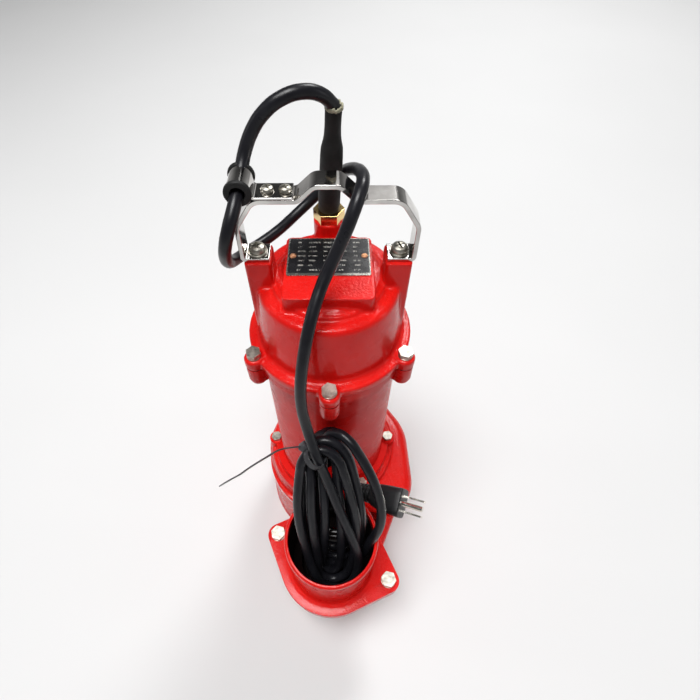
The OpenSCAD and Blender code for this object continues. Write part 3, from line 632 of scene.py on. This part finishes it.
def sleeve():
    foot, top = Vector(SLEEVE_FOOT), Vector(SLEEVE_TOP)
    axis = (top - foot).normalized()
    side = axis.orthogonal().normalized()
    other = axis.cross(side)
    length = (top - foot).length
    profile = [(-6, 5.6), (-0.5, 5.7), (0.2, 7.3), (1.2, 7.7), (12, 7.75), (26, 7.6), (44, 7.3),
               (50, 6.9), (54, 6.0), (58, 5.3), (64, 5.0), (70, 5.0), (length - 1, 5.1),
               (length, 4.9), (length - 0.4, 4.15)]
    rings = []
    for z, r in profile:
        ring = []
        for k in range(48):
            t = 2 * math.pi * k / 48
            wave = 1 + 0.018 * math.sin(3 * t + z * 0.11) + 0.012 * math.sin(5 * t - z * 0.23)
            ring.append((foot + axis * z + (side * math.cos(t) + other * math.sin(t)) * r
                         * (wave if z > 2 else 1)) * MM)
        rings.append(ring)
    obj = mesh_piece("cable_sleeve_skin", *lofted(rings), "sleeve", "cord_black")
    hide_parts("cable_sleeve")
    rings, count = [], 72
    for j, (dz, r) in enumerate([(-1.6, 5.1), (-1.2, 5.5), (0.2, 5.5), (1.0, 5.2), (0.9, 4.7),
                                 (0.1, 4.2), (-1.2, 4.4)]):
        ring = []
        for k in range(count):
            t = 2 * math.pi * k / count
            fray = 0.5 * math.sin(7 * t) + 0.35 * math.sin(13 * t + 1) + 0.25 * math.sin(29 * t)
            z = length + dz + fray * (0.9 if 1 < j < 5 else 0.35)
            ring.append((foot + axis * z + (side * math.cos(t) + other * math.sin(t))
                         * (r + 0.12 * math.sin(17 * t))) * MM)
        rings.append(ring)
    verts, faces = lofted(rings, close_ends=False)
    faces += [(6 * count + k, 6 * count + (k + 1) % count, (k + 1) % count, k)
              for k in range(count)]
    mesh_piece("sleeve_tape", verts, faces, "frayed", "cord_black")


sleeve()


# ---------------------------------------------------------------- zip tie
TIE_AT = (-12, 140, -8)              # its middle, in the hank's own frame
TIE_REACH, TIE_SLACK = 15, 0.4       # how far from there it gathers strands, and its slack
TIE_HEAD = (-20, -86, 284)
TIE_TAIL = [(-33, -88, 291), (-40, -88, 286), (-49, -87, 273), (-58, -86, 260), (-68, -85, 245),
            (-78, -84, 229), (-91, -82, 210), (-104, -80, 190)]


def hull_2d(points):
    """Convex outline of points in a plane, counter-clockwise."""
    pts = sorted({(round(float(a), 3), round(float(b), 3)) for a, b in points})

    def half(seq):
        out = []
        for p in seq:
            while len(out) > 1 and ((out[-1][0] - out[-2][0]) * (p[1] - out[-2][1])
                                    - (out[-1][1] - out[-2][1]) * (p[0] - out[-2][0])) <= 0:
                out.pop()
            out.append(p)
        return out[:-1]
    return half(pts) + half(pts[::-1])


def even(points, n):
    """n points evenly spaced around a closed outline."""
    p = np.array(list(points) + [points[0]], float)
    run = np.concatenate([[0], np.cumsum(np.linalg.norm(np.diff(p, axis=0), axis=1))])
    at = np.arange(n) / n * run[-1]
    return np.stack([np.interp(at, run, p[:, i]) for i in (0, 1)], axis=1)


def zip_tie():
    """A band round the strands at the tie, its head and its long loose tail."""
    centre = in_hank(TIE_AT)
    strands = ROUTE[LEAD_N - 4:LEAD_N + TURN_N]
    dist = np.linalg.norm(strands - centre, axis=1)
    near = [i for i in range(1, len(strands) - 1) if dist[i] < TIE_REACH
            and dist[i] <= dist[i - 1] and dist[i] <= dist[i + 1]]
    normal = np.zeros(3)
    for i in near:                                 # along the strands, all taken as going up
        w = strands[i + 1] - strands[i - 1]
        normal += w / np.linalg.norm(w) * math.copysign(1, float(w @ HANK_UP))
    normal /= np.linalg.norm(normal)
    across = np.cross(normal, HANK_FRONT)
    across /= np.linalg.norm(across)
    depth = np.cross(across, normal)
    spots = []
    for i in near:
        q, w = strands[i], strands[i + 1] - strands[i - 1]
        lean = float(w @ normal) / np.linalg.norm(w)
        if abs(lean) > 0.6:                        # where the strand meets the tie's plane
            q = q + w * float((centre - q) @ normal) / float(w @ normal)
        spots.append(((q - centre) @ across, (q - centre) @ depth,
                      (CORD_D / 2 + TIE_SLACK) / max(abs(lean), 0.6)))
    outline = hull_2d([(a + r * math.cos(t), b + r * math.sin(t)) for a, b, r in spots
                       for t in np.linspace(0, 2 * math.pi, 24, endpoint=False)])
    path = even(outline, 96)
    out = path - np.roll(path, 1, 0) + np.roll(path, -1, 0) - path
    out = np.stack([out[:, 1], -out[:, 0]], axis=1)
    out /= np.linalg.norm(out, axis=1)[:, None]
    rings = []
    for p, o in zip(path, out):
        ring = []
        for off, wide in ((0, -2.2), (0, 2.2), (0.9, 2.3), (1.2, 2.0), (1.2, -2.0), (0.9, -2.3)):
            q = p + o * off
            ring.append((centre + across * q[0] + depth * q[1] + normal * wide) * MM)
        rings.append(ring)
    verts, faces = lofted(rings, close_ends=False)
    n = len(rings[0])
    faces += [((len(rings) - 1) * n + k, (len(rings) - 1) * n + (k + 1) % n, (k + 1) % n, k)
              for k in range(n)]
    band = mesh_piece("tie_band", verts, faces, "nylon", "tie_nylon", smooth=False)
    # the head sits on the band where it comes nearest to its spot, and the tail leaves it
    target = np.array(TIE_HEAD) - centre
    k = int(np.linalg.norm(path - (across @ target, depth @ target), axis=1).argmin())
    q, o = path[k] + out[k] * 3.6, out[k]
    head_at = centre + across * q[0] + depth * q[1]
    out3 = across * o[0] + depth * o[1]
    along = np.cross(normal, out3)
    rings = []
    for z, s in ((-2.6, 0.72), (-2.3, 0.92), (-1.4, 1.0), (1.4, 1.0), (2.3, 0.94), (2.6, 0.74)):
        rings.append([(head_at + out3 * z + normal * a * s + along * b * s) * MM
                      for a, b in rounded(3.6, 3.1, 5, 24)])
    head = mesh_piece("tie_head", *lofted(rings), "nylon", "tie_nylon")
    # the tail: a flat strip that narrows to its end
    line = catmull(np.array([head_at, *TIE_TAIL], float), 5)
    rings = []
    for i, p in enumerate(line):
        d = line[min(i + 1, len(line) - 1)] - line[max(i - 1, 0)]
        d /= np.linalg.norm(d)
        wide = np.array((0, -0.35, 0.94)) - d * float(d @ (0, -0.35, 0.94))
        wide /= np.linalg.norm(wide)
        flat = np.cross(d, wide)
        w = 1.9 * min(1, 0.45 + 0.16 * (len(line) - 1 - i))
        rings.append([(p + wide * w * a + flat * 0.5 * b) * MM for a, b in
                      ((-1, -0.6), (-0.8, -1), (0.8, -1), (1, -0.6), (1, 0.6), (0.8, 1),
                       (-0.8, 1), (-1, 0.6))])
    tail = mesh_piece("tie_tail", *lofted(rings), "nylon", "tie_nylon")
    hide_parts("cable_tie")
    return [band, head, tail]


tie_pieces = zip_tie()


# ---------------------------------------------------------------- floor, world and lights
FLOOR_HALF, FLOOR_CELLS = 2.6, 24


def floor():
    bm = bmesh.new()
    ticks = [-FLOOR_HALF + 2 * FLOOR_HALF * i / FLOOR_CELLS for i in range(FLOOR_CELLS + 1)]
    rows = [[bm.verts.new((x, y, 0)) for x in ticks] for y in ticks]
    for below, above in zip(rows, rows[1:]):
        for i in range(FLOOR_CELLS):
            bm.faces.new((below[i], below[i + 1], above[i + 1], above[i]))
    me = bpy.data.meshes.new("floor")
    bm.to_mesh(me)
    bm.free()
    obj = bpy.data.objects.new("floor", me)
    bpy.context.scene.collection.objects.link(obj)
    g = Graph("floor_white")
    g.set(Base_Color=g.mix(g.noise(3, 2), (0.62, 0.62, 0.62), (0.65, 0.65, 0.65)), Roughness=0.8)
    me.materials.append(g.mat)


floor()


def world():
    """A soft studio that is brighter near the horizon than overhead."""
    w = bpy.data.worlds.new("studio")
    w.use_nodes = True
    bpy.context.scene.world = w
    tree = w.node_tree
    coord = tree.nodes.new("ShaderNodeTexCoord")
    sep = tree.nodes.new("ShaderNodeSeparateXYZ")
    ramp = tree.nodes.new("ShaderNodeMapRange")
    for key, v in zip(("From Min", "From Max", "To Min", "To Max"), (0.0, 0.5, 0.34, 0.06)):
        ramp.inputs[key].default_value = v
    tree.links.new(coord.outputs["Generated"], sep.inputs[0])
    tree.links.new(sep.outputs[2], ramp.inputs["Value"])
    back = tree.nodes["Background"]
    back.inputs["Color"].default_value = (1, 1, 1, 1)
    tree.links.new(ramp.outputs["Result"], back.inputs["Strength"])


world()


def area(name, at, look_at, size, power):
    data = bpy.data.lights.new(name, "AREA")
    data.shape = "RECTANGLE"
    data.size, data.size_y = size
    data.energy = power
    obj = bpy.data.objects.new(name, data)
    bpy.context.scene.collection.objects.link(obj)
    obj.location = at
    obj.rotation_euler = (Vector(look_at) - Vector(at)).to_track_quat("-Z", "Y").to_euler()


# name, place, what it is aimed at, size and power
LIGHTS = [("overhead", (-0.3, -0.35, 2.4), (0, -0.05, 0.2), (1.2, 0.8), 62),
          ("left", (-1.3, 0.1, 0.9), (0, 0, 0.25), (0.14, 0.9), 1.3),
          ("right", (1.3, -0.2, 0.8), (0, 0, 0.25), (0.14, 0.9), 1.2),
          ("back", (0.9, 2.0, 2.4), (0.1, 1.7, 0), (1.0, 0.8), 62),
          ("card", (0.50, 2.36, 2.07), (0.04, 0, 0.45), (0.7, 0.6), 0.9)]
for light in LIGHTS:
    area(*light)
bpy.context.scene.view_settings.view_transform = "Standard"
